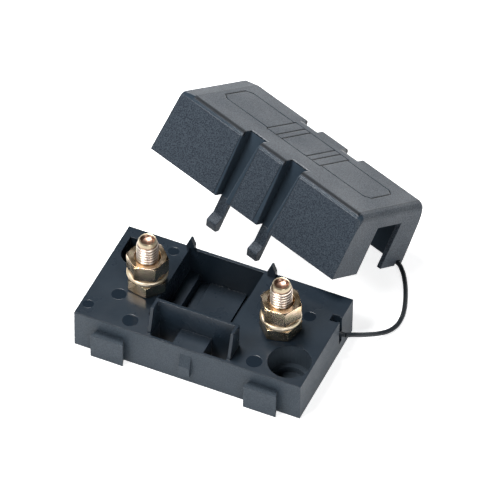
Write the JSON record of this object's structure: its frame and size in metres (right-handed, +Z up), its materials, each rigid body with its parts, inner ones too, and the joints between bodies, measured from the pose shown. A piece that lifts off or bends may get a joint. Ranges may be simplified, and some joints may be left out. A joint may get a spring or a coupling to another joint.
{
  "type": "strip fuse holder",
  "caption": "Bolt-down strip fuse holder: moulded base with stud terminals and a fuse well, and a clip-on cover lying open behind it, tied by a cord",
  "frame": {"origin": "centre of the base moulding's underside, on the mounting surface", "axes": "+X to the end where the cord leaves, -Y to the front with the latch shroud, +Z up out of the mounting surface"},
  "size_m": [0.1038, 0.1216, 0.0499],
  "materials": {
    "housing_plastic": "black moulded, smooth satin",
    "cover_plastic": "black moulded, fine spark-eroded grain",
    "plated_steel": "steel, yellow passivated zinc",
    "washer_steel": "spring steel, pale yellow zinc",
    "cord_plastic": "black flexible moulding"
  },
  "bodies": {
    "base": {"base_housing": "housing_plastic", "tether_base_bead": "cord_plastic", "left_stud": "plated_steel", "right_stud": "plated_steel", "left_clamp_nut": "plated_steel", "right_clamp_nut": "plated_steel"},
    "left_washer": {"left_spring_washer": "washer_steel"},
    "left_terminal_nut": {"left_terminal_nut": "plated_steel"},
    "right_washer": {"right_spring_washer": "washer_steel"},
    "right_terminal_nut": {"right_terminal_nut": "plated_steel"},
    "tether": {"tether_cord": "cord_plastic", "tether_cover_bead": "cord_plastic"},
    "cover": {"cover_shell": "cover_plastic"}
  },
  "joints": [
    {"name": "left_washer_lift", "type": "slide", "parent": "base", "child": "left_washer", "axis": [0, 0, 1], "range_m": [0, 0.01]},
    {"name": "left_terminal_nut_turn", "type": "hinge", "parent": "left_washer", "child": "left_terminal_nut", "pos_m": [-0.0254, 0, 0.0267], "axis": [0, 0, 1], "range_deg": [0, 2880]},
    {"name": "right_washer_lift", "type": "slide", "parent": "base", "child": "right_washer", "axis": [0, 0, 1], "range_m": [0, 0.01]},
    {"name": "right_terminal_nut_turn", "type": "hinge", "parent": "right_washer", "child": "right_terminal_nut", "pos_m": [0.0254, 0, 0.0267], "axis": [0, 0, 1], "range_deg": [0, 2880]},
    {"name": "tether_swing", "type": "hinge", "parent": "base", "child": "tether", "pos_m": [0.0449, 0.0122, 0.0089], "axis": [0, 0, 1], "range_deg": [-110, 0]},
    {"name": "cover_roll", "type": "hinge", "parent": "tether", "child": "cover", "pos_m": [0.04539, 0.0575, 0.00278], "axis": [0.9481, -0.3094, -0.0737], "range_deg": [-60, 0]}
  ],
  "couplings": [
    {"joint": "left_washer_lift", "follows": "left_terminal_nut_turn", "m_per_rad": 0.00019894},
    {"joint": "right_washer_lift", "follows": "right_terminal_nut_turn", "m_per_rad": 0.00019894}
  ]
}
